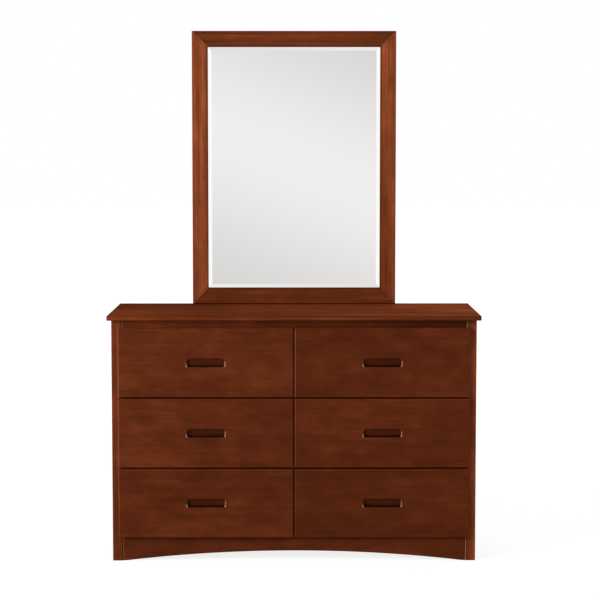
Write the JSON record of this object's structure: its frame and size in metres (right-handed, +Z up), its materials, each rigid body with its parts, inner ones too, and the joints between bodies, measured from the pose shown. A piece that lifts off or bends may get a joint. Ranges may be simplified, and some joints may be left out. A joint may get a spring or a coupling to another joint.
{
  "type": "dresser with mirror",
  "caption": "Low wooden dresser on an arched base: two columns of overlay drawers with routed finger pulls, and a framed bevelled mirror behind its top.",
  "frame": {"origin": "on the floor, under the middle of the whole object's box", "axes": "+Z up, -Y the front with the drawers, +X to the right as seen from the front"},
  "size_m": [1.2, 0.4184, 1.73],
  "materials": {
    "stained_wood": "reddish brown stain under satin lacquer",
    "drawer_box_wood": "pale unstained wood, sanded and sealed",
    "hardboard": "bare brown hardboard",
    "silvered_glass": "silvered plate glass with a bevelled border"
  },
  "bodies": {
    "case": {"top_panel": "stained_wood", "side_panel_left": "stained_wood", "side_panel_right": "stained_wood", "front_stile_left": "stained_wood", "front_stile_right": "stained_wood", "centre_partition": "stained_wood", "front_rail_top": "stained_wood", "front_rail_upper": "stained_wood", "front_rail_lower": "stained_wood", "front_rail_bottom": "stained_wood", "base_apron": "stained_wood", "back_rail_top": "stained_wood", "back_rail_upper": "stained_wood", "back_rail_lower": "stained_wood", "back_rail_bottom": "stained_wood", "back_panel": "hardboard", "drawer_guide_left_1": "stained_wood", "drawer_guide_left_2": "stained_wood", "drawer_guide_left_3": "stained_wood", "drawer_guide_right_1": "stained_wood", "drawer_guide_right_2": "stained_wood", "drawer_guide_right_3": "stained_wood", "mirror_support_left": "stained_wood", "mirror_support_right": "stained_wood", "mirror_frame_left": "stained_wood", "mirror_frame_right": "stained_wood", "mirror_frame_top": "stained_wood", "mirror_frame_bottom": "stained_wood", "mirror_glass": "silvered_glass", "mirror_backboard": "hardboard"},
    "drawer_left_1": {"drawer_left_1_front": "stained_wood", "drawer_left_1_side_left": "drawer_box_wood", "drawer_left_1_side_right": "drawer_box_wood", "drawer_left_1_back": "drawer_box_wood", "drawer_left_1_bottom": "drawer_box_wood"},
    "drawer_left_2": {"drawer_left_2_front": "stained_wood", "drawer_left_2_side_left": "drawer_box_wood", "drawer_left_2_side_right": "drawer_box_wood", "drawer_left_2_back": "drawer_box_wood", "drawer_left_2_bottom": "drawer_box_wood"},
    "drawer_left_3": {"drawer_left_3_front": "stained_wood", "drawer_left_3_side_left": "drawer_box_wood", "drawer_left_3_side_right": "drawer_box_wood", "drawer_left_3_back": "drawer_box_wood", "drawer_left_3_bottom": "drawer_box_wood"},
    "drawer_right_1": {"drawer_right_1_front": "stained_wood", "drawer_right_1_side_left": "drawer_box_wood", "drawer_right_1_side_right": "drawer_box_wood", "drawer_right_1_back": "drawer_box_wood", "drawer_right_1_bottom": "drawer_box_wood"},
    "drawer_right_2": {"drawer_right_2_front": "stained_wood", "drawer_right_2_side_left": "drawer_box_wood", "drawer_right_2_side_right": "drawer_box_wood", "drawer_right_2_back": "drawer_box_wood", "drawer_right_2_bottom": "drawer_box_wood"},
    "drawer_right_3": {"drawer_right_3_front": "stained_wood", "drawer_right_3_side_left": "drawer_box_wood", "drawer_right_3_side_right": "drawer_box_wood", "drawer_right_3_back": "drawer_box_wood", "drawer_right_3_bottom": "drawer_box_wood"}
  },
  "joints": [
    {"name": "drawer_left_1_slide", "type": "slide", "parent": "case", "child": "drawer_left_1", "axis": [0, -1, 0], "range_m": [0, 0.26]},
    {"name": "drawer_left_2_slide", "type": "slide", "parent": "case", "child": "drawer_left_2", "axis": [0, -1, 0], "range_m": [0, 0.26]},
    {"name": "drawer_left_3_slide", "type": "slide", "parent": "case", "child": "drawer_left_3", "axis": [0, -1, 0], "range_m": [0, 0.26]},
    {"name": "drawer_right_1_slide", "type": "slide", "parent": "case", "child": "drawer_right_1", "axis": [0, -1, 0], "range_m": [0, 0.26]},
    {"name": "drawer_right_2_slide", "type": "slide", "parent": "case", "child": "drawer_right_2", "axis": [0, -1, 0], "range_m": [0, 0.26]},
    {"name": "drawer_right_3_slide", "type": "slide", "parent": "case", "child": "drawer_right_3", "axis": [0, -1, 0], "range_m": [0, 0.26]}
  ]
}
